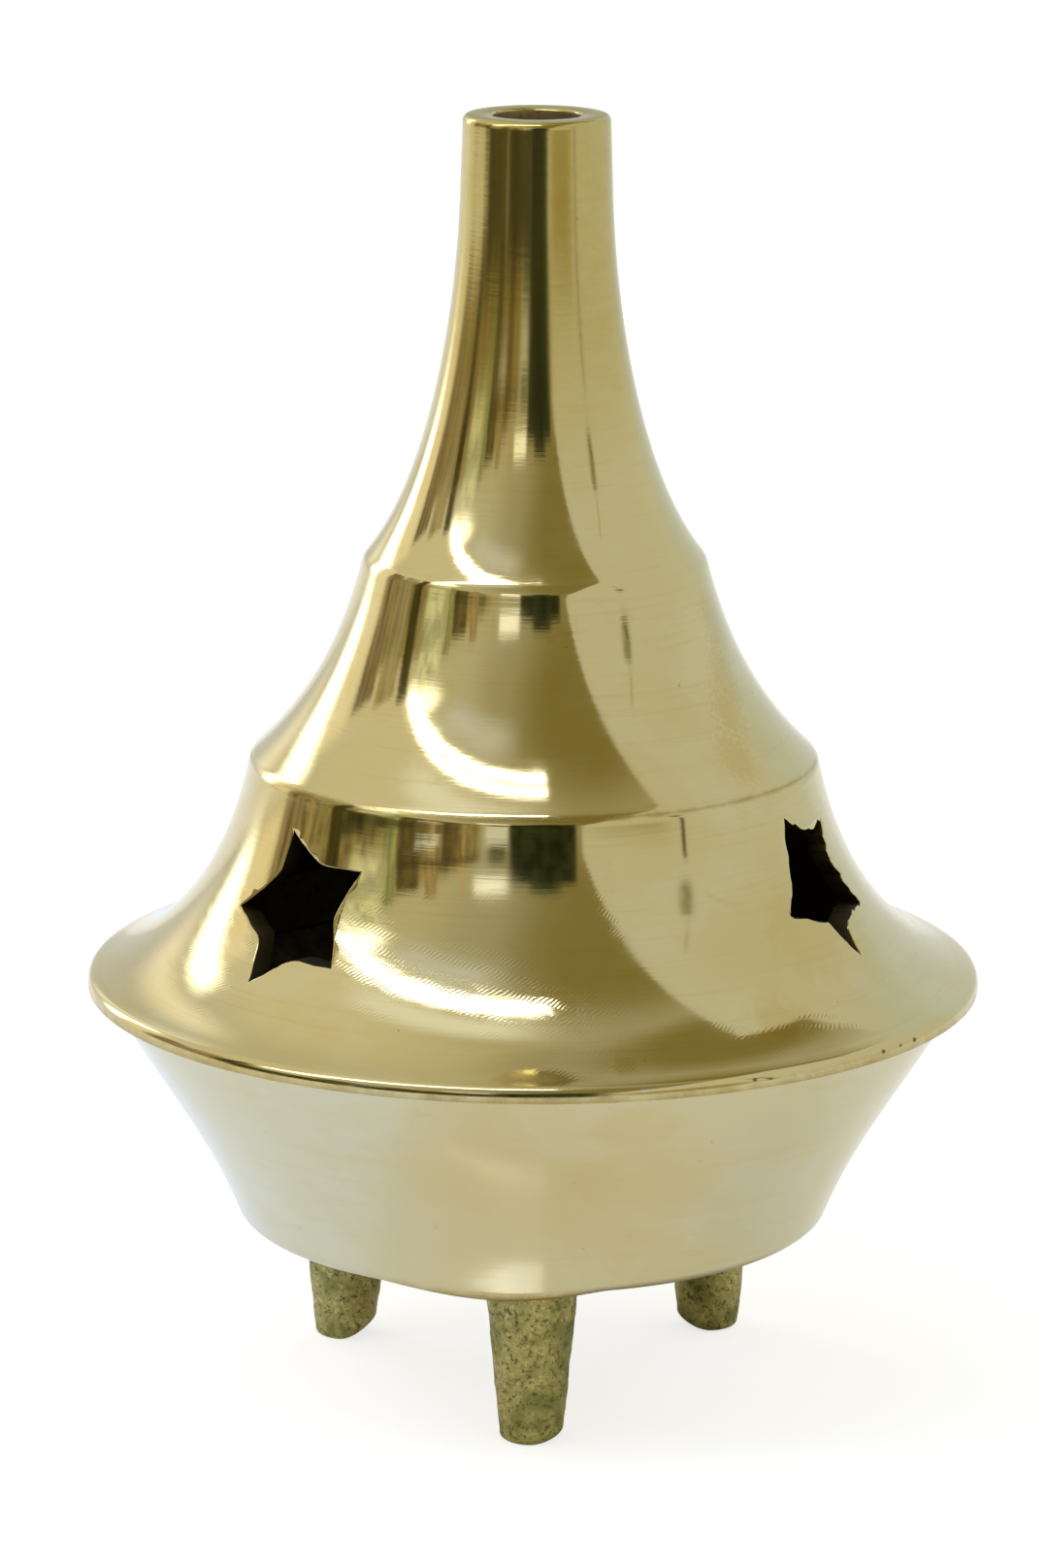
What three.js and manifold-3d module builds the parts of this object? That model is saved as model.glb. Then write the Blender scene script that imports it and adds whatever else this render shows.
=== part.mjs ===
// Cone incense burner in cast and turned brass. A shallow bowl on three pegs holds the smouldering
// cone. A spire-shaped lid in three flared tiers rests on the bowl's rim by a flat seat, with a
// spigot ring that keeps it central. Smoke leaves by the chimney bore and by three star windows.
// Millimetres, +Z up. The origin is on the table, under the chimney's axis, and the front peg
// stands towards -Y.

import * as THREE from 'three';
import { mergeVertices } from 'three/addons/utils/BufferGeometryUtils.js';
import Module from 'manifold-3d';

const wasm = await Module();
wasm.setup();

// Feet. The pegs were set by eye, so they aren't evenly spaced. A bearing goes round from the front
// towards +X, here and for the windows, and the distance is from the bowl's axis to the peg's.
const frontFoot = { name: 'foot_front', bearing: 0, distance: 15.4 };
const rearRightFoot = { name: 'foot_rear_right', bearing: 125.5, distance: 15.7 };
const rearLeftFoot = { name: 'foot_rear_left', bearing: 243, distance: 15.0 };
const feet = [frontFoot, rearRightFoot, rearLeftFoot];
const footLength = 11.2; // table to the bowl's underside
const soleRadius = 2.1;
const soleRounding = 0.5;
const shankRadius = 3.05; // where the shank ends and the root fillet begins
const rootRadius = 3.45; // widest, against the bowl's underside
const rootFilletHeight = 1.8;
const tenonRadius = 1.7;
const tenonClearance = 0.3;

// Bowl, heights from its underside
const bowlHeight = 17.2; // underside to the rim that the lid rests on
const bowlBaseRadius = 20.5;
const bowlRimRadius = 29.8;
const bowlBaseLean = -20.0; // degrees from upright, minus where the wall opens outwards
const bowlRimLean = -29.0;
const bowlWall = 1.8;
const bowlFloor = 2.4;
const bowlBaseRounding = 0.9;
const bowlFloorFillet = 2.5;
const bowlRimChamfer = 0.25;

// Seat between the bowl and the lid
const recessRadius = 27.4; // the step turned inside the bowl's rim
const recessDepth = 1.9;
const spigotClearance = 0.35; // round the spigot, and under it
const spigotWall = 1.4;

// Lid, heights from its flat seat
const lidHeight = 60.6; // seat to the chimney's mouth
const lidRadius = 31.05; // at the widest, the edge of the brim
const lidBandHeight = 0.45; // upright band between the seat and the brim's edge
const lidSeatChamfer = 0.2;
const brimRounding = 0.7;
const lidWall = 1.7;
const boreRadius = 3.1;
const boreChamfer = 0.1;
const mouthRadius = 5.03;
const mouthRounding = 0.4;

// The lid's three tiers, from the brim up. Each is a flare between two corners, and a lean is the
// wall's angle from upright, in degrees, just above or just below a corner.
const brimLean = 71.6;
const lowerCorner = { radius: 19.68, height: 16.2, leanBelow: 11.5, leanAbove: 47.6 };
const upperCorner = { radius: 11.82, height: 30.15, leanBelow: 15.4, leanAbove: 33.2 };
const chimneyFoot = { radius: 5.22, height: 55.0, leanBelow: 0.6 };

// Star windows, cut by hand, so no two are alike. Each has five points and, between them, five
// inner corners, given by their turn in degrees from straight up, clockwise as seen from outside,
// and by their reach from the centre. The sides are straight and the inner corners filed round.
const leftStar = {
  bearing: -46.0,
  height: 8.8, // centre above the seat
  points: { turns: [-27, 54, 120, 195, 262], reaches: [5.4, 5.5, 5.6, 4.75, 6.1] },
  corners: { turns: [16, 84, 154, 229, 302], reaches: [3.3, 3.3, 3.1, 3.25, 3.3] },
};
const rightStar = {
  bearing: 64.0,
  height: 9.5,
  points: { turns: [-26, 43, 118, 183, 257], reaches: [5.3, 4.9, 5.3, 4.8, 5.3] },
  corners: { turns: [5, 74, 168, 217, 286], reaches: [3.2, 2.9, 2.85, 2.95, 3.6] },
};
const rearStar = {
  bearing: 188.0,
  height: 9.1,
  points: { turns: [3, 78, 147, 221, 290], reaches: [5.4, 5.2, 5.3, 5.5, 5.0] },
  corners: { turns: [39, 113, 185, 256, 325], reaches: [3.25, 3.15, 3.3, 3.2, 3.2] },
};
const stars = [leftStar, rightStar, rearStar];
const starCornerRounding = 1.3; // from an inner corner to where each of its sides starts straight
const starCornerSteps = 3;

// Fineness of the solids
const turnedSides = 60;
const pegSides = 20;
const tierSteps = 7;
const coreSteps = 5;
const bowlSteps = 5;
const roundSteps = 3;
const handleShare = 0.36; // length of a flare's handles, as a share of its chord

// Derived places
const bowlBottom = footLength;
const seatLevel = bowlBottom + bowlHeight;
const spigotRadius = recessRadius - spigotClearance;
const spigotDepth = recessDepth - spigotClearance;
const spigotBore = spigotRadius - spigotWall;

const rad = THREE.MathUtils.degToRad;
const point = (r, z) => new THREE.Vector2(r, z);

// A wall that runs from a low point to a high one, with a given lean at each end
function flare(low, high, leanLow, leanHigh) {
  const handle = handleShare * low.distanceTo(high);
  const along = (lean) => point(-Math.sin(rad(lean)), Math.cos(rad(lean))).multiplyScalar(handle);
  return new THREE.CubicBezierCurve(
    low,
    low.clone().add(along(leanLow)),
    high.clone().sub(along(leanHigh)),
    high,
  );
}

// The point a wall's thickness inside a corner, where two leans meet
function inset(corner, leanBelow, leanAbove, wall) {
  const normalBelow = point(Math.cos(rad(leanBelow)), Math.sin(rad(leanBelow)));
  const normalAbove = point(Math.cos(rad(leanAbove)), Math.sin(rad(leanAbove)));
  const mitre = normalBelow.clone().add(normalAbove);
  mitre.divideScalar(1 + normalBelow.dot(normalAbove));
  return corner.clone().addScaledVector(mitre, -wall);
}

// The points on a circular arc, from one angle to another, in degrees from straight outwards
function arc(centre, radius, from, to, steps = roundSteps) {
  const curve = new THREE.EllipseCurve(
    centre.x,
    centre.y,
    radius,
    radius,
    rad(from),
    rad(to),
    from > to,
  );
  return curve.getPoints(steps);
}

// The part of a rising line of points between two limits of one coordinate, with its ends cut there
function between(points, key, low, high) {
  const kept = [];
  const crossing = (a, b, limit) => a.clone().lerp(b, (limit - a[key]) / (b[key] - a[key]));
  points.forEach((current, index) => {
    const previous = points[index - 1];
    if (previous) {
      for (const limit of current[key] > previous[key] ? [low, high] : [high, low]) {
        if ((previous[key] - limit) * (current[key] - limit) < 0) {
          kept.push(crossing(previous, current, limit));
        }
      }
    }
    if (current[key] >= low && current[key] <= high) {
      kept.push(current);
    }
  });
  return kept;
}

// A geometry's closed solid, with shared vertices merged and the empty faces at the axis left out
function solidOf(geometry) {
  const bare = geometry.clone();
  bare.deleteAttribute('normal');
  bare.deleteAttribute('uv');
  const merged = mergeVertices(bare, 1e-5);
  const index = merged.index.array;
  const faces = [];
  for (let i = 0; i < index.length; i += 3) {
    const [a, b, c] = index.slice(i, i + 3);
    if (a !== b && b !== c && c !== a) {
      faces.push(a, b, c);
    }
  }
  return new wasm.Manifold(
    new wasm.Mesh({
      numProp: 3,
      vertProperties: Float32Array.from(merged.attributes.position.array),
      triVerts: Uint32Array.from(faces),
    }),
  );
}

function geometryOf(solid) {
  const { vertProperties, triVerts } = solid.getMesh();
  const geometry = new THREE.BufferGeometry();
  geometry.setAttribute('position', new THREE.BufferAttribute(vertProperties, 3));
  geometry.setIndex(new THREE.BufferAttribute(triVerts, 1));
  geometry.computeVertexNormals();
  return geometry;
}

// A solid of revolution about +Z. The outline runs with the metal on its left.
function turned(outline, sides = turnedSides) {
  return solidOf(new THREE.LatheGeometry(outline, sides).rotateX(Math.PI / 2));
}

// Outer side of the bowl's wall, and the inner side, a wall's thickness within it
const bowlOuter = flare(
  point(bowlBaseRadius, 0),
  point(bowlRimRadius, bowlHeight),
  bowlBaseLean,
  bowlRimLean,
);
const bowlInner = flare(
  inset(bowlOuter.v0, bowlBaseLean, bowlBaseLean, bowlWall),
  inset(bowlOuter.v3, bowlRimLean, bowlRimLean, bowlWall),
  bowlBaseLean,
  bowlRimLean,
);

function rounded(from, corner, to) {
  return new THREE.QuadraticBezierCurve(from, corner, to).getPoints(roundSteps);
}

function makeBowl() {
  const outer = between(
    bowlOuter.getPoints(bowlSteps),
    'y',
    bowlBaseRounding,
    bowlHeight - bowlRimChamfer,
  );
  const ledgeLevel = bowlHeight - recessDepth;
  const inner = between(
    bowlInner.getPoints(bowlSteps),
    'y',
    bowlFloor + bowlFloorFillet,
    ledgeLevel,
  );
  const floorCorner = point(
    inner[0].x - bowlFloorFillet * Math.tan(rad(-bowlBaseLean)),
    bowlFloor,
  );
  const outline = [
    point(0, 0),
    ...rounded(point(bowlBaseRadius - bowlBaseRounding, 0), bowlOuter.v0, outer[0]),
    ...outer.slice(1),
    point(outer.at(-1).x - bowlRimChamfer, bowlHeight),
    point(recessRadius, bowlHeight),
    point(recessRadius, ledgeLevel),
    ...inner.slice(1).reverse(),
    ...rounded(inner[0], floorCorner, point(floorCorner.x - bowlFloorFillet, bowlFloor)),
    point(0, bowlFloor),
  ];
  let bowl = turned(outline);
  for (const { bearing, distance } of feet) {
    const socket = new THREE.CylinderGeometry(
      tenonRadius + tenonClearance,
      tenonRadius + tenonClearance,
      3 * bowlFloor,
      pegSides,
    );
    socket.rotateX(Math.PI / 2);
    socket.translate(...outward(bearing, distance, 0));
    bowl = bowl.subtract(solidOf(socket));
  }
  return geometryOf(bowl);
}

// Place at a distance from the axis, with the bearing counted from the front towards +X
function outward(bearing, distance, z) {
  return [distance * Math.sin(rad(bearing)), -distance * Math.cos(rad(bearing)), z];
}

// A tapered peg with a rounded sole, a root fillet under its shoulder, and a tenon above it
function makeFoot() {
  const shankTop = footLength - rootFilletHeight;
  const outline = [
    point(0, 0),
    ...arc(point(soleRadius - soleRounding, soleRounding), soleRounding, -90, 0),
    ...rounded(
      point(shankRadius, shankTop),
      point(shankRadius + (shankRadius - soleRadius) * (rootFilletHeight / shankTop), footLength),
      point(rootRadius, footLength),
    ),
    point(tenonRadius, footLength),
    point(tenonRadius, footLength + bowlFloor),
    point(0, footLength + bowlFloor),
  ];
  return geometryOf(turned(outline, pegSides));
}

// Corners of the lid's outside, from the brim up
const brimCentre = point(lidRadius - brimRounding, lidBandHeight);
const brimTop = brimCentre
  .clone()
  .add(point(Math.cos(rad(brimLean)), Math.sin(rad(brimLean))).multiplyScalar(brimRounding));
const lower = point(lowerCorner.radius, lowerCorner.height);
const upper = point(upperCorner.radius, upperCorner.height);
const neck = point(chimneyFoot.radius, chimneyFoot.height);

// The three tiers, outside and, a wall's thickness within them, inside
const outerTiers = [
  flare(brimTop, lower, brimLean, lowerCorner.leanBelow),
  flare(lower, upper, lowerCorner.leanAbove, upperCorner.leanBelow),
  flare(upper, neck, upperCorner.leanAbove, chimneyFoot.leanBelow),
];
const innerBrim = inset(brimTop, brimLean, brimLean, lidWall);
const innerLower = inset(lower, lowerCorner.leanBelow, lowerCorner.leanAbove, lidWall);
const innerUpper = inset(upper, upperCorner.leanBelow, upperCorner.leanAbove, lidWall);
const innerTiers = [
  flare(innerBrim, innerLower, brimLean, lowerCorner.leanBelow),
  flare(innerLower, innerUpper, lowerCorner.leanAbove, upperCorner.leanBelow),
  flare(innerUpper, point(boreRadius, neck.y), upperCorner.leanAbove, chimneyFoot.leanBelow),
];

// Joins the tiers' points from the lowest up, without repeating the corners they share
function along(tiers, steps) {
  return tiers.flatMap((tier, k) => tier.getPoints(steps).slice(k === 0 ? 0 : 1));
}

// A fat star seen from outside, in its own plane
function starShape({ points, corners }) {
  const places = ({ turns, reaches }) =>
    turns.map((turn, k) => point(0, reaches[k]).rotateAround(point(0, 0), -rad(turn)));
  const tips = places(points);
  const dips = places(corners);
  const shape = new THREE.Shape();
  shape.moveTo(...tips[0]);
  dips.forEach((dip, k) => {
    const next = tips[(k + 1) % tips.length];
    const [before, after] = [tips[k], next].map((tip) =>
      tip.clone().sub(dip).setLength(starCornerRounding).add(dip),
    );
    shape.lineTo(...before);
    shape.quadraticCurveTo(...dip, ...after);
    shape.lineTo(...next);
  });
  return shape;
}

// The window's tool, a bar of the star's section that runs straight out through the wall
function starCutter(star) {
  const start = boreRadius;
  const bar = new THREE.ExtrudeGeometry(starShape(star), {
    depth: lidRadius - start,
    bevelEnabled: false,
    curveSegments: starCornerSteps,
  });
  const right = new THREE.Vector3(Math.cos(rad(star.bearing)), Math.sin(rad(star.bearing)), 0);
  const up = new THREE.Vector3(0, 0, 1);
  const out = new THREE.Vector3(...outward(star.bearing, 1, 0));
  const place = new THREE.Matrix4().makeBasis(right, up, out);
  place.setPosition(...outward(star.bearing, start, star.height));
  return solidOf(bar.applyMatrix4(place));
}

function makeLid() {
  const core = between(along(innerTiers, coreSteps).reverse(), 'x', boreRadius, spigotBore);
  const outline = [
    point(spigotBore, -spigotDepth),
    point(spigotRadius, -spigotDepth),
    point(spigotRadius, 0),
    point(lidRadius - lidSeatChamfer, 0),
    point(lidRadius, lidSeatChamfer),
    ...arc(brimCentre, brimRounding, 0, brimLean).slice(0, -1),
    ...along(outerTiers, tierSteps),
    ...arc(point(mouthRadius - mouthRounding, lidHeight - mouthRounding), mouthRounding, 0, 90),
    point(boreRadius + boreChamfer, lidHeight),
    point(boreRadius, lidHeight - boreChamfer),
    ...core,
    point(spigotBore, -spigotDepth),
  ];
  const windows = stars.map(starCutter);
  return geometryOf(windows.reduce((lid, window) => lid.subtract(window), turned(outline)));
}

// Finishes
const polishedBrass = { color: 0xcbb671, metalness: 1.0, roughness: 0.2 };
const castBrass = { color: 0x6f6440, metalness: 0.8, roughness: 0.65 };

function part(name, geometry, finish) {
  const mesh = new THREE.Mesh(geometry, new THREE.MeshStandardMaterial({ name, ...finish }));
  mesh.name = name;
  return mesh;
}

const burner = new THREE.Group();

const bowl = part('bowl', makeBowl(), polishedBrass);
bowl.position.z = bowlBottom;
burner.add(bowl);

const footGeometry = makeFoot();
for (const { name, bearing, distance } of feet) {
  const foot = part(name, footGeometry.clone(), castBrass);
  foot.position.set(...outward(bearing, distance, 0));
  burner.add(foot);
}

const lid = part('lid', makeLid(), polishedBrass);
lid.position.z = seatLevel;
burner.add(lid);

export default burner;
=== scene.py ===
"""Brass cone incense burner, dressed and lit.

A spire-shaped lid in three flared tiers, pierced by star windows, stands on a shallow bowl with
three cast pegs. The sizes of the classes are in millimetres, heights from the table unless their
comment says otherwise, and the meshes are made in metres.
"""

import logging
import math
from dataclasses import dataclass
from enum import IntEnum

import bmesh
import bpy
from bmesh.types import BMEdge, BMesh, BMFace, BMVert
from bpy.types import Material, Node, NodeSocket, Object
from mathutils import Matrix, Vector, noise
from mathutils.geometry import interpolate_bezier

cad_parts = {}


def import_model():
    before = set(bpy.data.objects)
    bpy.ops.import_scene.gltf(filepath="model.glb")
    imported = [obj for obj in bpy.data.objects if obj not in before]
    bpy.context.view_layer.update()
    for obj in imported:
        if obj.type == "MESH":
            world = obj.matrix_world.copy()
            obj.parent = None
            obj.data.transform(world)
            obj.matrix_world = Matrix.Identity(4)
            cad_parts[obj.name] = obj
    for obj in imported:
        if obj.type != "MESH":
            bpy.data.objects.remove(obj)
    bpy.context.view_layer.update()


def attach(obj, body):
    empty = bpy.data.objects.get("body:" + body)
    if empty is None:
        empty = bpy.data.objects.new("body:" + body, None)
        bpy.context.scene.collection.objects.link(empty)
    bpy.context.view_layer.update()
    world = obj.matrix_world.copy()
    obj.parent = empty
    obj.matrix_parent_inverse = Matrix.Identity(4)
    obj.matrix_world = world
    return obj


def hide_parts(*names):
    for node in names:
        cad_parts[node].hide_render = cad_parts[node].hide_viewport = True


LOG = logging.getLogger("burner")
MM = 0.001
PHOTO_SIZE = (1080, 1616)
MERGE = 2e-6  # metres within which two points of a mesh are one
HANDLE = 0.36  # length of a wall's curve handles, as a share of its chord

Pair = tuple[float, float]
Colour = tuple[float, float, float]
Outline = list[Vector]


class Side(IntEnum):
    """Material slots of a turned piece."""

    OUTSIDE = 0
    INSIDE = 1
    CUT = 2


def outward(bearing: float, distance: float, height: float = 0.0) -> Vector:
    """Place at a distance from the axis, at a bearing in degrees from the front, -Y, towards +X."""
    turn = math.radians(bearing)
    return Vector((distance * math.sin(turn), -distance * math.cos(turn), height))


def ray(bearing: float, elevation: float) -> Vector:
    """Direction from the burner at a bearing, and at an elevation above the horizon."""
    up = math.radians(elevation)
    return outward(bearing, math.cos(up), math.sin(up))


# Shader graphs


class Graph:
    """Shorthand for the nodes and links of one material or world."""

    def __init__(self, owner: bpy.types.ID) -> None:
        """Empties the node tree of a material or a world."""
        owner.use_nodes = True
        self.tree = owner.node_tree
        self.tree.nodes.clear()

    def add(self, kind: str, inputs: dict | None = None, **settings: object) -> Node:
        """Adds a node.

        Args:
            kind: the node's type, without its ShaderNode prefix.
            inputs: sockets to link, or values to set, by the socket's name or number.
            settings: properties of the node.

        Returns:
            The node.
        """
        node = self.tree.nodes.new("ShaderNode" + kind)
        for name, value in settings.items():
            setattr(node, name, value)
        for key, value in (inputs or {}).items():
            if isinstance(value, NodeSocket):
                self.tree.links.new(value, node.inputs[key])
            else:
                node.inputs[key].default_value = value
        return node

    def math(self, operation: str, *values: object) -> NodeSocket:
        """Does one sum on numbers, and returns its result."""
        return self.add("Math", dict(enumerate(values)), operation=operation).outputs[0]

    def vector(self, operation: str, *values: object) -> NodeSocket:
        """Does one sum on vectors, and returns its result."""
        node = self.add("VectorMath", dict(enumerate(values)), operation=operation)
        return node.outputs["Value" if operation in ("DOT_PRODUCT", "LENGTH") else "Vector"]

    def scaled(self, vector: NodeSocket, factor: float) -> NodeSocket:
        """Multiplies a vector by a number, and returns the result."""
        return self.add("VectorMath", {0: vector, "Scale": factor}, operation="SCALE").outputs[0]

    def millimetres(self) -> NodeSocket:
        """The piece's own coordinates, in millimetres."""
        return self.scaled(self.add("TexCoord").outputs["Object"], 1.0 / MM)

    def noise(
        self, at: object, scale: float, detail: float = 2.0, rough: float = 0.5, warp: float = 0.0
    ) -> NodeSocket:
        """Cloudy noise.

        Args:
            at: the coordinates.
            scale: lumps per unit of the coordinates.
            detail: number of finer layers.
            rough: strength of each finer layer.
            warp: how far the noise distorts itself.

        Returns:
            The noise, from 0 to 1 and mostly near a half.
        """
        inputs = {"Vector": at, "Scale": scale, "Detail": detail}
        inputs |= {"Roughness": rough, "Distortion": warp}
        return self.add("TexNoise", inputs).outputs[0]

    def step(self, value: object, low: float, high: float, to: Pair = (0.0, 1.0)) -> NodeSocket:
        """Smooth step.

        Args:
            value: the number that decides.
            low: where the step begins.
            high: where the step ends.
            to: results before and after the step.

        Returns:
            The stepped number.
        """
        inputs = {"Value": value, "From Min": low, "From Max": high, "To Min": to[0], "To Max": to[1]}
        node = self.add("MapRange", inputs, interpolation_type="SMOOTHSTEP", clamp=True)
        return node.outputs[0]

    def blend(self, share: object, first: object, second: object) -> NodeSocket:
        """Mixes two colours, and returns the mix."""
        inputs = {0: share, 6: rgba(first), 7: rgba(second)}
        return self.add("Mix", inputs, data_type="RGBA").outputs[2]

    def lay(
        self, under: object, over: object, value: object, low: float, high: float, most: float = 1.0
    ) -> NodeSocket:
        """Lays a colour over another, up to a share of it, where a number passes a smooth step."""
        return self.blend(self.step(value, low, high, (0.0, most)), under, over)

    def bump(self, height: object, depth: float, under: NodeSocket | None = None) -> NodeSocket:
        """Relief too fine for the mesh.

        Args:
            height: the relief, from 0 to 1.
            depth: its depth in millimetres.
            under: relief that lies under it.

        Returns:
            The normal.
        """
        inputs = {"Height": height, "Distance": depth * MM, "Strength": 1.0}
        if under:
            inputs["Normal"] = under
        return self.add("Bump", inputs).outputs[0]

    def glow(self, kind: str, colour: object, strength: float = 1.0) -> NodeSocket:
        """Light that a surface or a world gives, by the kind of its shader."""
        return self.add(kind, {"Color": rgba(colour), "Strength": strength}).outputs[0]

    def mix(self, share: object, first: NodeSocket, second: NodeSocket) -> NodeSocket:
        """Mixes two shaders, and returns the mix."""
        return self.add("MixShader", {0: share, 1: first, 2: second}).outputs[0]

    def metal(self, colour: object, rough: object, normal: NodeSocket, metallic: float) -> None:
        """Ends a material in a metal of some colour, roughness and relief."""
        inputs = {"Base Color": colour, "Roughness": rough, "Normal": normal, "Metallic": metallic}
        self.end(self.add("BsdfPrincipled", inputs).outputs[0])

    def end(self, shader: NodeSocket, kind: str = "OutputMaterial") -> None:
        """Ends the graph in a shader."""
        self.add(kind, {"Surface": shader})


def rgba(colour: object) -> object:
    """A colour with its alpha, or a socket as it is."""
    return (*colour, 1.0) if isinstance(colour, tuple) else colour


def new_material(name: str) -> tuple[Material, Graph]:
    """Starts a material, and returns it with its graph."""
    material = bpy.data.materials.new(name)
    return material, Graph(material)


class TurnedGround:
    """Coordinates of a turned surface, from a piece's own object coordinates."""

    def __init__(self, graph: Graph) -> None:
        """Makes the nodes that every finish of turned brass reads."""
        self.graph = graph
        self.mm = graph.millimetres()
        parts = graph.add("SeparateXYZ", {0: self.mm}).outputs
        self.turn = graph.math("ARCTAN2", parts[0], graph.math("MULTIPLY", parts[1], -1.0))
        flat = graph.add("CombineXYZ", {0: parts[0], 1: parts[1]}).outputs[0]
        self.around = graph.vector("NORMALIZE", flat)
        self.height = parts[2]
        # Runs up the wall without ever standing still: up the chimney, and inwards over the brim
        self.along = graph.math("SUBTRACT", self.height, graph.vector("LENGTH", flat))

    def lathe(self, round_share: float) -> NodeSocket:
        """Coordinates that change fast up the wall and slowly round it, as the lathe's lines do."""
        lift = self.graph.add("CombineXYZ", {2: self.along}).outputs[0]
        return self.graph.vector("ADD", self.graph.scaled(self.around, round_share), lift)

    def strokes(self, slant: float, spacing: float) -> NodeSocket:
        """Rows of short strokes that run slantwise up the wall, as a chattering tool leaves them.

        Args:
            slant: how far the strokes lean to the right on their way up.
            spacing: millimetres from one stroke to the next.

        Returns:
            The height of the strokes, from -1 to 1.
        """
        middle_radius, sway, row_slant, row_spacing = 22.0, 0.9, 0.3, 3.4 * spacing
        graph = self.graph
        wander = graph.noise(self.mm, 0.5, 2.0)
        across = graph.math("MULTIPLY", self.turn, middle_radius)
        across = graph.math("MULTIPLY_ADD", self.along, -slant, across)
        across = graph.math("MULTIPLY_ADD", wander, sway, across)
        down = graph.math("MULTIPLY_ADD", across, row_slant, self.along)
        down = graph.math("MULTIPLY_ADD", wander, sway, down)
        wave = graph.math("SINE", graph.math("MULTIPLY", across, math.tau / spacing))
        row = graph.math("SINE", graph.math("MULTIPLY", down, math.tau / row_spacing))
        return graph.math("MULTIPLY", wave, graph.step(row, -0.5, 0.4))


@dataclass(frozen=True)
class Stain:
    """A small mark on turned brass."""

    bearing: float
    radius: float
    height: float
    size: float
    colour: Colour
    share: float
    flatten: float = 1.0  # above 1 the mark is lower than it is wide, below 1 it is taller
    raggedness: float = 0.5
    grain: float = 1.6  # lumps of its outline, per size

    def lay(self, graph: Graph, mm: NodeSocket, colour: NodeSocket) -> NodeSocket:
        """Lays the mark over a colour.

        Args:
            graph: the material's graph.
            mm: the coordinates, in millimetres.
            colour: the colour under the mark.

        Returns:
            The colour with the mark.
        """
        centre = outward(self.bearing, self.radius, self.height)
        off = graph.vector("SUBTRACT", mm, tuple(centre))
        off = graph.vector("MULTIPLY", off, (1.0, 1.0, self.flatten))
        torn = graph.noise(mm, self.grain / self.size, 4.0, 0.7)
        tear = 2.0 * self.raggedness * self.size
        torn = graph.math("MULTIPLY_ADD", torn, tear, graph.vector("LENGTH", off))
        edge = self.size * (1.0 + self.raggedness)
        mark = graph.step(torn, 0.75 * edge, 1.15 * edge, (self.share, 0.0))
        return graph.blend(mark, colour, self.colour)


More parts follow.
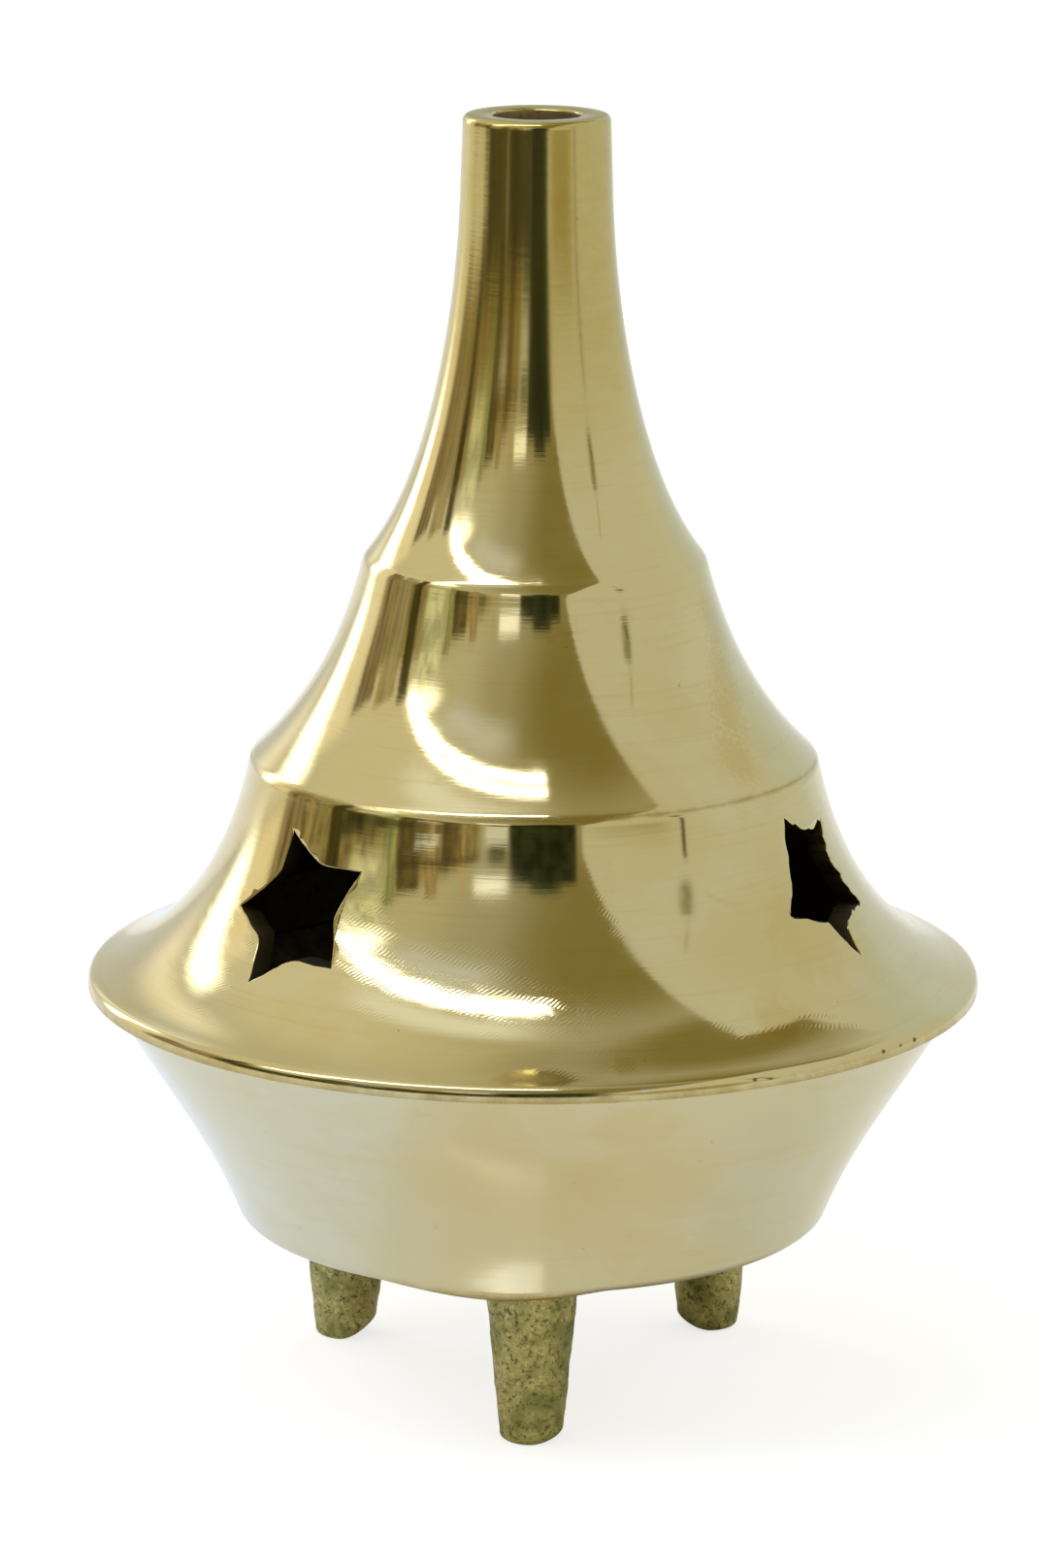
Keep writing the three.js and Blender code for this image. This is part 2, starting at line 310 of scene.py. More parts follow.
@dataclass(frozen=True)
class PolishedBrass:
    """Brass turned on the lathe, buffed, and a little tarnished since."""

    name: str
    colour: Colour
    film: Colour = (0.60, 0.55, 0.35)
    warm: Colour = (0.50, 0.37, 0.12)
    tarnish: Colour = (0.33, 0.235, 0.075)
    roughness: float = 0.07
    chattered: Pair = (0.0, 0.0)  # heights between which the tool left strokes
    turned_height: float = 200.0  # from here up the turning lines were never buffed out
    raw: Colour = (0.48, 0.385, 0.135)  # the brass there
    grimy: tuple[Pair, ...] = ()  # heights with grime, and how far it reaches
    stains: tuple[Stain, ...] = ()

    def make(self) -> Material:
        """Builds the material and returns it."""
        material, graph = new_material(self.name)
        ground = TurnedGround(graph)
        lines = graph.noise(ground.lathe(0.8), 2.2, 3.0, 0.7)
        raw = graph.step(ground.height, self.turned_height - 6.0, self.turned_height + 6.0)
        film = graph.step(graph.noise(ground.mm, 0.11, 5.0, 0.6, 0.4), 0.46, 0.66)
        film = graph.math("MULTIPLY", film, graph.math("SUBTRACT", 1.0, raw))
        grime = self.grime(ground)
        rough: object = self.roughness
        for share, rise in ((film, 0.05), (raw, 0.09), (grime, 0.3)):
            rough = graph.math("MULTIPLY_ADD", share, rise, rough)
        colour = self.tint(ground, lines, film, raw, grime)
        graph.metal(colour, rough, self.relief(ground, lines, raw), 1.0)
        return material

    def tint(self, ground: TurnedGround, lines: NodeSocket, *shares: NodeSocket) -> NodeSocket:
        """The brass's colour, with its film, clouds, lines, specks, grime and stains.

        Args:
            ground: the surface's coordinates.
            lines: the turning lines.
            shares: of the pale film, of the brass that was never buffed, and of grime.

        Returns:
            The colour.
        """
        graph, mm = ground.graph, ground.mm
        film, raw, grime = shares
        colour = graph.lay(self.colour, self.warm, graph.noise(mm, 0.07, 3.0), 0.45, 0.78, 0.4)
        mottled = graph.noise(ground.lathe(3.0), 0.9, 4.0, 0.7)
        worn = graph.math("MULTIPLY", raw, graph.step(mottled, 0.3, 0.7, (1.0, 0.7)))
        colour = graph.blend(worn, colour, self.raw)
        colour = graph.blend(graph.math("MULTIPLY", film, 0.35), colour, self.film)
        blots = graph.noise(mm, 0.3, 5.0, 0.65, 0.6)
        colour = graph.lay(colour, self.warm, blots, 0.62, 0.76, 0.4)
        colour = graph.lay(colour, self.warm, lines, 0.5, 0.75, 0.3)
        colour = graph.lay(colour, self.tarnish, graph.noise(mm, 1.3, 2.0), 0.75, 0.81, 0.6)
        colour = graph.blend(grime, colour, self.tarnish)
        for stain in self.stains:
            colour = stain.lay(graph, mm, colour)
        return colour

    def grime(self, ground: TurnedGround) -> NodeSocket:
        """Share of the grime that polishing cloths leave beside edges and seams."""
        graph = ground.graph
        uneven = graph.noise(ground.mm, 0.5, 4.0, 0.7)
        share: object = 0.0
        for height, reach in self.grimy:
            off = graph.math("ABSOLUTE", graph.math("SUBTRACT", ground.height, height))
            off = graph.math("MULTIPLY_ADD", uneven, 2.0 * reach, off)
            near = graph.step(off, 0.6 * reach, 2.0 * reach, (0.8, 0.0))
            share = graph.math("MAXIMUM", near, share)
        return share

    def chatter(self, ground: TurnedGround) -> NodeSocket:
        """Height of the strokes that a chattering tool left in patches of one belt."""
        graph = ground.graph
        low, high = self.chattered
        start = graph.step(ground.height, low - 1.0, low + 1.0)
        end = graph.step(ground.height, high - 2.5, high + 2.5, (1.0, 0.0))
        patches = graph.step(graph.noise(ground.mm, 0.10, 2.0), 0.36, 0.56)
        belt = graph.math("MULTIPLY", graph.math("MULTIPLY", start, end), patches)
        return graph.math("MULTIPLY", ground.strokes(slant=0.75, spacing=0.36), belt)

    def relief(self, ground: TurnedGround, lines: NodeSocket, raw: NodeSocket) -> NodeSocket:
        """Relief of the turning.

        Args:
            ground: the surface's coordinates.
            lines: the turning lines.
            raw: share of the brass that was never buffed.

        Returns:
            The normal.
        """
        graph = ground.graph
        normal = graph.bump(graph.noise(ground.lathe(1.2), 0.35, 2.0), 0.006)
        depth = graph.math("MULTIPLY_ADD", raw, 0.25, 0.35)
        normal = graph.bump(graph.math("MULTIPLY", lines, depth), 0.010, normal)
        return graph.bump(self.chatter(ground), 0.0014, normal)


@dataclass(frozen=True)
class DullBrass:
    """Brass left as the tool left it, browned by smoke."""

    name: str
    colour: Colour
    soot: Colour = (0.035, 0.026, 0.014)
    roughness: float = 0.42
    soot_share: float = 0.7

    def make(self) -> Material:
        """Builds the material and returns it."""
        material, graph = new_material(self.name)
        ground = TurnedGround(graph)
        smoke = graph.noise(ground.mm, 0.12, 4.0, 0.6)
        grain = graph.noise(ground.mm, 1.6, 3.0)
        sooted = graph.step(smoke, 0.38, 0.66, (0.1, self.soot_share))
        colour = graph.blend(sooted, self.colour, self.soot)
        colour = graph.lay(colour, self.soot, grain, 0.45, 0.8, 0.4)
        rough = graph.step(smoke, 0.3, 0.7, (self.roughness, self.roughness + 0.25))
        normal = graph.bump(graph.noise(ground.lathe(1.5), 1.9, 2.0, 0.6), 0.03)
        graph.metal(colour, rough, graph.bump(grain, 0.012, normal), 0.9)
        return material


@dataclass(frozen=True)
class CastBrass:
    """Brass as it came from the sand, dark in its pits and rubbed bright on its high spots."""

    name: str
    pits: Colour = (0.085, 0.08, 0.022)
    shade: Colour = (0.26, 0.245, 0.075)
    skin: Colour = (0.43, 0.375, 0.13)
    rubbed: Colour = (0.66, 0.55, 0.25)

    def make(self) -> Material:
        """Builds the material and returns it."""
        material, graph = new_material(self.name)
        mm = graph.millimetres()
        sand = graph.noise(mm, 2.6, 5.0, 0.75, 0.4)
        patches = graph.noise(mm, 0.5, 3.0, 0.6, 0.5)
        grains = graph.noise(mm, 3.0, 2.0, 0.5, 0.9)
        colour = graph.lay(self.shade, self.skin, patches, 0.34, 0.56)
        colour = graph.blend(graph.step(sand, 0.38, 0.50, (0.9, 0.0)), colour, self.pits)
        worn = graph.step(patches, 0.40, 0.62)
        high = graph.math("MULTIPLY", graph.step(grains, 0.48, 0.70), worn)
        colour = graph.blend(graph.math("MULTIPLY", high, 0.75), colour, self.rubbed)
        rough = graph.step(high, 0.0, 1.0, (0.55, 0.36))
        relief = graph.bump(graph.math("MULTIPLY_ADD", grains, 0.6, sand), 0.05)
        graph.metal(colour, rough, relief, 0.8)
        return material


# Meshes


def flare(
    low: Vector,
    high: Vector,
    lean_low: float,
    lean_high: float,
    steps: int,
    low_handle: float = HANDLE,
) -> Outline:
    """A wall that runs from a low point to a high one with a given lean at each end.

    Args:
        low: lower end, as radius and height.
        high: upper end.
        lean_low: the wall's angle from upright at the lower end, in degrees, minus if it opens out.
        lean_high: the same at the upper end.
        steps: number of points, ends included.
        low_handle: length of the curve's lower handle, as a share of its chord.

    Returns:
        The points, from the lower end up.
    """
    chord = (high - low).length

    def along(lean: float, handle: float) -> Vector:
        """A handle in the direction of a lean."""
        lean = math.radians(lean)
        return Vector((-math.sin(lean), math.cos(lean))) * handle * chord

    ends = [low, low + along(lean_low, low_handle), high - along(lean_high, HANDLE), high]
    return [p.to_2d() for p in interpolate_bezier(*[p.to_3d() for p in ends], steps)]


def facing(lean: float) -> Vector:
    """Outward direction, in an outline's plane, of a wall with a lean in degrees."""
    return Vector((math.cos(math.radians(lean)), math.sin(math.radians(lean))))


def inset(corner: Vector, below: float, above: float, wall: float) -> Vector:
    """The point a wall's thickness inside a corner where two leans meet.

    Args:
        corner: the corner on the outside.
        below: lean under the corner, in degrees.
        above: lean over the corner.
        wall: the thickness.

    Returns:
        The corner of the inside.
    """
    lower, upper = facing(below), facing(above)
    mitre = (lower + upper) / (1.0 + lower.dot(upper))
    return corner - mitre * wall


def spin_outline(outline: Outline, closed: bool, sides: int) -> BMesh:
    """Turns an outline about the upright axis.

    Args:
        outline: radius and height of each point, in millimetres.
        closed: whether the last point joins the first. An open outline ends on the axis.
        sides: number of sides.

    Returns:
        The turned solid, with its faces outwards.
    """
    work = bmesh.new()
    rim = [work.verts.new((r * MM, 0.0, z * MM)) for r, z in outline]
    for pair in zip(rim, rim[1:] + rim[:1] if closed else rim[1:]):
        work.edges.new(pair)
    path = {"cent": (0, 0, 0), "axis": (0, 0, 1), "dvec": (0, 0, 0), "angle": math.tau}
    drawn = work.verts[:] + work.edges[:]
    bmesh.ops.spin(work, geom=drawn, steps=sides, use_merge=True, **path)
    bmesh.ops.remove_doubles(work, verts=work.verts[:], dist=1e-7)
    bmesh.ops.recalc_face_normals(work, faces=work.faces[:])
    return work


def inward(face: BMFace) -> bool:
    """Whether a face of a turned mesh looks towards its axis."""
    centre = face.calc_center_median()
    return face.normal.dot(Vector((centre.x, centre.y, 0.0)).normalized()) < -0.01


def soften(work: BMesh, edges: list[BMEdge], width: float, steps: int, slot: int = -1) -> None:
    """Rounds edges.

    Args:
        work: the mesh.
        edges: the edges to round.
        width: width of the rounding on each side, in millimetres.
        steps: number of facets across it.
        slot: material slot of the rounding, or -1 for the neighbours' own.
    """
    shape = {"offset": width * MM, "offset_type": "OFFSET", "segments": steps, "profile": 0.5}
    bmesh.ops.bevel(work, geom=edges, affect="EDGES", material=slot, clamp_overlap=False, **shape)


def soften_ring(work: BMesh, radius: float, height: float, width: float, steps: int) -> None:
    """Rounds a ring of a turned mesh.

    Args:
        work: the turned mesh.
        radius: the ring's radius, in millimetres.
        height: its height.
        width: width of the rounding on each side.
        steps: number of facets across it.
    """

    def on_ring(vert: BMVert) -> bool:
        """Whether a point of the mesh lies on the ring."""
        return math.hypot(vert.co.xy.length - radius * MM, vert.co.z - height * MM) < MERGE

    soften(work, [e for e in work.edges if all(map(on_ring, e.verts))], width, steps)


def finish_piece(
    name: str, work: BMesh, materials: list[Material], sharp: float = 40.0
) -> Object:
    """Makes an object of a mesh.

    Args:
        name: the piece's name.
        work: the mesh, which is freed.
        materials: its materials, in the order of the faces' slots.
        sharp: angle in degrees from which an edge is shaded as sharp.

    Returns:
        The piece.
    """
    mesh = bpy.data.meshes.new(name)
    work.to_mesh(mesh)
    work.free()
    piece = bpy.data.objects.new(name, mesh)
    bpy.context.scene.collection.objects.link(piece)
    for material in materials:
        mesh.materials.append(material)
    mesh.shade_smooth()
    mesh.set_sharp_from_angle(angle=math.radians(sharp))
    return piece


def cut_away(work: BMesh, tool: BMesh, materials: list[Material]) -> BMesh:
    """Cuts a tool's shape out of a mesh.

    Args:
        work: the mesh, which is freed.
        tool: the tool's mesh, which is freed.
        materials: the materials of both.

    Returns:
        The cut mesh, with the cut's faces in the slot of cuts.
    """
    for face in tool.faces:
        face.material_index = Side.CUT
    piece, cutter = finish_piece("blank", work, materials), finish_piece("tool", tool, materials)
    cut = piece.modifiers.new("cut", "BOOLEAN")
    cut.operation = "DIFFERENCE"
    cut.solver = "EXACT"
    cut.object = cutter
    result = bmesh.new()
    result.from_object(piece, bpy.context.evaluated_depsgraph_get())
    for gone in (piece, cutter):
        bpy.data.objects.remove(gone)
    if not result.faces:
        raise RuntimeError("the cut left nothing of the piece")
    bmesh.ops.remove_doubles(result, verts=result.verts[:], dist=MERGE)
    return result


# The burner


@dataclass(frozen=True)
class StarWindow:
    """A star pierced through the lid by hand.

    Points and inner corners are given by their turn in degrees from straight up, clockwise as seen
    from outside, and by their reach from the centre.
    """

    bearing: float
    height: float  # centre above the lid's seat
    turns: tuple[float, ...]
    reaches: tuple[float, ...]
    corner_turns: tuple[float, ...]
    corner_reaches: tuple[float, ...]
    jag: float  # how rough the saw left the sides
    notch: float  # how deep it notched them towards the right
    seed: float
    corner_rounding: float = 1.3
    spacing: float = 0.35  # between the points of the outline

    def outline(self) -> Outline:
        """The star in its own plane, clockwise from its first point."""
        tips = self.places(self.turns, self.reaches)
        dips = self.places(self.corner_turns, self.corner_reaches)
        points: Outline = []
        for tip, dip, following in zip(tips, dips, tips[1:] + tips[:1]):
            before = dip + (tip - dip).normalized() * self.corner_rounding
            after = dip + (following - dip).normalized() * self.corner_rounding
            ends = [p.to_3d() for p in (before, dip, dip, after)]
            round_corner = [p.to_2d() for p in interpolate_bezier(*ends, 7)]
            side = self.straight(tip, before) + round_corner + self.straight(after, following)[1:]
            points += [p + self.stray(p) * min(1.0, 1.2 * (p - tip).length) for p in side]
        return points

    def straight(self, start: Vector, end: Vector) -> Outline:
        """Evenly spaced points from a start to just before an end."""
        count = max(1, round((end - start).length / self.spacing))
        return [start.lerp(end, k / count) for k in range(count)]

    @staticmethod
    def places(turns: tuple[float, ...], reaches: tuple[float, ...]) -> Outline:
        """Places in the star's plane, from their turns and reaches."""
        turned = [math.radians(turn) for turn in turns]
        return [Vector((math.sin(t), math.cos(t))) * reach for t, reach in zip(turned, reaches)]

    def stray(self, place: Vector) -> Vector:
        """How far the saw strayed at a place on the outline, in slow bends and quick notches."""
        notched = 0.3 * self.jag + self.notch * min(1.0, max(0.0, place.x / 3.0))
        return self.drift(place * 0.9) * self.jag + self.drift(place * 2.6) * notched

    def drift(self, place: Vector) -> Vector:
        """A smooth wander in the star's plane, the same at every run."""
        levels = (self.seed, self.seed + 20.0)
        return Vector([noise.noise(Vector((*place, level))) for level in levels])

    def tool(self, seat: float, start: float, end: float) -> BMesh:
        """A bar of the star's section that runs straight out through the wall.

        Args:
            seat: height of the lid's seat.
            start: distance of the bar's inner end from the axis.
            end: distance of its outer end.

        Returns:
            The bar.
        """
        bar = bmesh.new()
        star = bar.faces.new([bar.verts.new((p.x * MM, 0.0, p.y * MM)) for p in self.outline()])
        long = bmesh.ops.extrude_face_region(bar, geom=[star])["geom"]
        far = [v for v in long if isinstance(v, BMVert)]
        bmesh.ops.translate(bar, verts=far, vec=(0.0, -(end - start) * MM, 0.0))
        bmesh.ops.recalc_face_normals(bar, faces=bar.faces[:])
        turn = Matrix.Rotation(math.radians(self.bearing), 4, "Z")
        place = Matrix.Translation(outward(self.bearing, start, seat + self.height) * MM)
        bmesh.ops.transform(bar, matrix=place @ turn, verts=bar.verts[:])
        return bar


WINDOWS = (
    StarWindow(
        -46.0, 8.8, (-27, 54, 120, 195, 262), (5.4, 5.5, 5.6, 4.75, 6.1), (16, 84, 154, 229, 302),
        (3.3, 3.3, 3.1, 3.25, 3.3), jag=0.10, notch=0.0, seed=5.45,
    ),
    StarWindow(
        64.0, 9.5, (-26, 43, 118, 183, 257), (5.3, 4.9, 5.3, 4.8, 5.3), (5, 74, 168, 217, 286),
        (3.2, 2.7, 2.8, 2.85, 3.6), jag=0.24, notch=0.34, seed=8.85,
    ),
    StarWindow(
        188.0, 9.1, (3, 78, 147, 221, 290), (5.4, 5.2, 5.3, 5.5, 5.0), (39, 113, 185, 256, 325),
        (3.25, 3.15, 3.3, 3.2, 3.2), jag=0.12, notch=0.1, seed=12.35,
    ),
)


@dataclass
class Lid:
    """The spire: three flared tiers over a flat brim, with a spigot ring under it."""

    seat: float = 28.4
    height: float = 60.6
    radius: float = 31.05
    band_height: float = 0.45
    brim_rounding: float = 0.7
    brim_lean: float = 71.6
    wall: float = 1.25
    bore_radius: float = 3.0
    polished_bore: float = 1.2  # how far down the bore is polished
    mouth_radius: float = 5.03
    spigot_radius: float = 27.05
    spigot_depth: float = 1.55
    spigot_wall: float = 1.4
    # Radius, height above the seat, lean below and, at the tiers' corners, lean above
    lower: tuple[float, ...] = (19.68, 16.2, 11.5, 47.6)
    upper: tuple[float, ...] = (11.82, 30.15, 14.3, 40.3)
    chimney: tuple[float, ...] = (5.22, 55.0, 1.9)
    sides: int = 192
    windows: tuple[StarWindow, ...] = WINDOWS
    window_reach: Pair = (8.0, 36.0)  # where the saw's cut starts and ends, from the axis

    def outside(self) -> Outline:
        """The outside from the band over the seat up to the mouth, in heights above the seat."""
        centre = Vector((self.radius - self.brim_rounding, self.band_height))
        turns = (0, 18, 36, 54, self.brim_lean)
        arc = [centre + facing(turn) * self.brim_rounding for turn in turns]
        lower, upper, chimney = (Vector(c[:2]) for c in (self.lower, self.upper, self.chimney))
        low_tier = flare(arc[-1], lower, self.brim_lean, self.lower[2], 34)
        middle_tier = flare(lower, upper, self.lower[3], self.upper[2], 26)
        top_tier = flare(upper, chimney, self.upper[3], self.chimney[2], 34, low_handle=0.25)
        mouth = Vector((self.mouth_radius, self.height))
        # Rings close to the mouth keep its rounded edge from bending the light further down
        rings = [chimney.lerp(mouth, share) for share in (0.3, 0.6, 0.8, 0.9)]
        return arc[:-1] + low_tier + middle_tier[1:] + top_tier[1:] + rings

    def inside(self) -> Outline:
        """The hollow from the top of the bore down to the spigot's own bore."""
        brim_top = self.outside()[4]
        low = inset(brim_top, self.brim_lean, self.brim_lean, self.wall)
        ledge, shelf = (inset(Vector(c[:2]), *c[2:], self.wall) for c in (self.lower, self.upper))
        neck = Vector((self.bore_radius, self.chimney[1]))
        points = [
            *flare(low, ledge, self.brim_lean, self.lower[2], 12),
            *flare(ledge, shelf, self.lower[3], self.upper[2], 10),
            *flare(shelf, neck, self.upper[3], self.chimney[2], 12),
        ]
        spigot_bore = self.spigot_radius - self.spigot_wall
        return [p for p in points[::-1] if self.bore_radius <= p.x < spigot_bore]

    def spin(self) -> BMesh:
        """The turned solid before its windows are cut, with its corners rounded."""
        spigot_bore = self.spigot_radius - self.spigot_wall
        under = [
            (spigot_bore, -self.spigot_depth),
            (self.spigot_radius, -self.spigot_depth),
            (self.spigot_radius, 0.0),
            (self.radius, 0.0),
        ]
        mouth = [(self.mouth_radius, self.height), (self.bore_radius, self.height)]
        inside = self.inside()
        outline = [*under, *self.outside(), *mouth, *inside, (spigot_bore, inside[-1].y)]
        lifted = [Vector(p) + Vector((0.0, self.seat)) for p in outline]
        work = spin_outline(lifted, closed=True, sides=self.sides)
        self.mark_inside(work)
        # Ring, width of its rounding and facets across it
        for (radius, height), width, steps in (
            (self.lower[:2], 0.42, 5),
            (self.upper[:2], 0.36, 5),
            (mouth[0], 0.42, 4),
            (mouth[1], 0.34, 3),
            (under[3], 0.07, 2),
            (under[1], 0.3, 2),
        ):
            soften_ring(work, radius, height + self.seat, width, steps)
        return work

    def mark_inside(self, work: BMesh) -> None:
        """Gives the faces of the hollow and of the spigot the material slot of the inside."""
        for face in work.faces:
            centre = face.calc_center_median()
            height = centre.z / MM - self.seat
            # Up to the seat, with a little room for what is rounded
            spigot = height < 0.02 and centre.xy.length < (self.spigot_radius + 0.15) * MM
            ceiling = face.normal.z < -0.5 and height > 0.1
            if height <= self.height - self.polished_bore and (inward(face) or spigot or ceiling):
                face.material_index = Side.INSIDE

    def stains(self) -> tuple[Stain, ...]:
        """The marks on the outside: casting pits, dark ticks on the band and tarnish."""
        tarnish, dark = (0.46, 0.33, 0.10), (0.07, 0.06, 0.03)
        blots = (
            (69.8, 12.8, 54.3, 1.5, tarnish, 0.4, 0.6),
            (63.8, 14.2, 51.3, 1.5, tarnish, 0.45, 0.6),
            (57.8, 15.5, 49.1, 1.6, tarnish, 0.5, 0.6),
            (51.4, 17.6, 46.9, 1.6, tarnish, 0.45, 0.7),
        )
        return (
            *[Stain(*blot, 1.6, 6.0) for blot in blots],
            Stain(52.0, 22.0, 35.0, 4.0, tarnish, 0.30, 1.0, 0.9, 3.0),
            Stain(52.0, 23.5, 35.5, 8.0, (0.52, 0.41, 0.16), 0.24, 1.0, 0.3),
            Stain(38.0, 26.5, 30.6, 2.4, tarnish, 0.35, 1.0, 0.9),
            Stain(-7.6, 12.8, 54.0, 0.2, dark, 0.75),
            Stain(-0.4, 29.0, 30.5, 0.16, dark, 0.7, 0.6),
            Stain(55.7, 30.9, 29.0, 0.28, dark, 0.9, 1.6),
            Stain(52.5, 30.9, 29.0, 0.22, dark, 0.8, 1.6),
            Stain(48.9, 30.9, 29.0, 0.25, dark, 0.85, 1.6),
            Stain(28.0, 30.9, 29.05, 0.22, dark, 0.8, 1.6),
            Stain(13.6, 30.9, 29.1, 0.3, (0.55, 0.55, 0.5), 0.9, 1.3),
            Stain(11.9, 29.0, 30.6, 0.9, tarnish, 0.5, 0.6, 0.9),
        )

    def build(self) -> Object:
        """Makes the piece, dresses it and puts it on its body."""
        shell = PolishedBrass(
            "lid_brass_polished",
            (0.56, 0.475, 0.235),
            chattered=(self.seat + 1.6, self.seat + 10.0),
            turned_height=70.0,
            grimy=((self.seat, 0.8), (self.seat + self.lower[1], 0.25)),
            stains=self.stains(),
        )
        hollow = DullBrass("lid_brass_smoked", (0.30, 0.22, 0.09), soot_share=0.5)
        sawn = DullBrass("lid_brass_sawn", (0.05, 0.038, 0.014), (0.02, 0.015, 0.006), 0.5)
        finishes = [finish.make() for finish in (shell, hollow, sawn)]
        work = self.spin()
        for window in self.windows:
            work = cut_away(work, window.tool(self.seat, *self.window_reach), finishes)
        self.dull_window_edges(work)
        piece = finish_piece("lid_spire", work, finishes, 50.0)
        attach(piece, "lid")
        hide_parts("lid")
        return piece

    @staticmethod
    def dull_window_edges(work: BMesh) -> None:
        """Takes the sharpness off the windows' outer edges."""
        between = [Side.OUTSIDE, Side.CUT]
        rims = [e for e in work.edges if sorted(f.material_index for f in e.link_faces) == between]
        soften(work, rims, 0.06, 2, Side.OUTSIDE)


@dataclass
class Bowl:
    """The shallow bowl that holds the smouldering cone."""

    bottom: float = 11.8
    height: float = 16.6
    base_radius: float = 20.5
    rim_radius: float = 29.8
    base_lean: float = -20.0
    rim_lean: float = -29.0
    wall: float = 1.8
    floor: float = 1.8
    recess_radius: float = 27.4
    recess_depth: float = 1.9
    socket_radius: float = 1.76
    boss_depth: float = 0.6  # how far the underside sags round the front peg
    boss_height: float = 3.6  # how far up the wall the sag is felt
    boss_start: float = 9.0  # how far in front of the axis it begins
    boss_fade: float = 4.0  # in how much more it is full
    boss_middle: float = -1.5  # place along X
    boss_left: float = 9.0  # reach to each side of its middle
    boss_right: float = 6.7
    sides: int = 192

    def spin(self) -> BMesh:
        """The turned solid, with its corners rounded."""
        base, rim = Vector((self.base_radius, 0.0)), Vector((self.rim_radius, self.height))
        leans = (self.base_lean, self.rim_lean)
        ends = [inset(p, a, a, self.wall) for p, a in zip((base, rim), leans)]
        ledge = self.height - self.recess_depth
        # The wall's inside, clear of the floor and of the ledge
        inner = [p for p in flare(*ends, *leans, 24) if self.floor + 0.4 < p.y < ledge - 0.3]
        floor_edge = (inner[0].x - 0.15, self.floor)
        outline = [
            (0.0, 0.0),
            *flare(base, rim, *leans, 30),
            (self.recess_radius, self.height),
            (self.recess_radius, ledge),
            (inner[-1].x + 0.2, ledge),
            *inner[::-1],
            floor_edge,
            (0.0, self.floor),
        ]
        lifted = [Vector(p) + Vector((0.0, self.bottom)) for p in outline]
        work = spin_outline(lifted, closed=False, sides=self.sides)
        for face in work.faces:
            above_floor = face.calc_center_median().z > (self.bottom + 1.0) * MM
            if above_floor and (inward(face) or face.normal.z > 0.5):
                face.material_index = Side.INSIDE
        # Ring, width of its rounding and facets across it
        for (radius, height), width, steps in (
            (base, 0.75, 5),
            (rim, 0.12, 2),
            ((self.recess_radius, self.height), 0.15, 2),
            (floor_edge, 1.6, 6),
        ):
            soften_ring(work, radius, height + self.bottom, width, steps)
        self.sag(work)
        return work

    def sag(self, work: BMesh) -> None:
        """Lowers the bowl's lower edge into a shallow boss round the front peg."""
        inner_edge = 0.9 * (self.base_radius - self.boss_start)
        for vert in work.verts:
            x, y, z = vert.co / MM
            above = (z - self.bottom) / self.boss_height
            if y > -self.boss_start or above > 1.0 or math.hypot(x, y) < inner_edge:
                continue
            off = x - self.boss_middle
            across = off / (self.boss_right if off > 0.0 else self.boss_left)
            share = max(0.0, 1.0 - across * across) ** 1.5
            near = min(1.0, (-self.boss_start - y) / self.boss_fade)
            vert.co.z -= self.boss_depth * share * near * (1.0 - max(0.0, above)) ** 2 * MM

    def socket(self, peg: "Peg") -> BMesh:
        """The drill that makes the hole for a peg's tenon."""
        drill = bmesh.new()
        radius, depth = self.socket_radius * MM, 3.0 * self.floor * MM
        ends = {"cap_ends": True, "radius1": radius, "radius2": radius}
        bmesh.ops.create_cone(drill, segments=40, depth=depth, **ends)
        place = outward(peg.bearing, peg.distance, self.bottom + self.floor / 2.0)
        bmesh.ops.translate(drill, verts=drill.verts[:], vec=place * MM)
        return drill

    def build(self, feet: "Feet") -> Object:
        """Makes the piece, dresses it and puts it on its body.

        Args:
            feet: the pegs, whose tenons need sockets.

        Returns:
            The piece.
        """
        gold = (0.60, 0.46, 0.18)
        clouds = (
            Stain(15.0, 24.5, 20.0, 6.0, gold, 0.27, 1.0, 0.5),
            Stain(14.0, 28.0, 26.0, 3.2, gold, 0.35, 1.6, 0.7),
            Stain(-12.0, 26.0, 22.0, 4.5, gold, 0.2, 1.0, 0.7),
            Stain(62.0, 24.0, 18.5, 3.0, gold, 0.25, 0.6, 0.8),
        )
        shell = PolishedBrass(
            "bowl_brass_polished",
            (0.60, 0.53, 0.32),
            film=(0.64, 0.60, 0.45),
            warm=(0.58, 0.47, 0.23),
            tarnish=(0.46, 0.31, 0.10),
            roughness=0.15,
            grimy=((self.bottom - 0.2, 0.7), (self.bottom + self.height, 0.5)),
            stains=clouds,
        ).make()
        hollow = DullBrass("bowl_brass_smoked", (0.30, 0.23, 0.10)).make()
        finishes = [shell, hollow, hollow]
        work = self.spin()
        for peg in feet.pegs:
            work = cut_away(work, self.socket(peg), finishes)
        piece = finish_piece("bowl_turned", work, finishes)
        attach(piece, "bowl")
        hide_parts("bowl")
        return piece


@dataclass(frozen=True)
class Peg:
    """Place and wear of one cast peg."""

    name: str
    bearing: float
    distance: float
    worn_side: float  # bearing of the sole's worn side, seen from the peg's own axis
    worn_rise: float  # how far the sole rises there


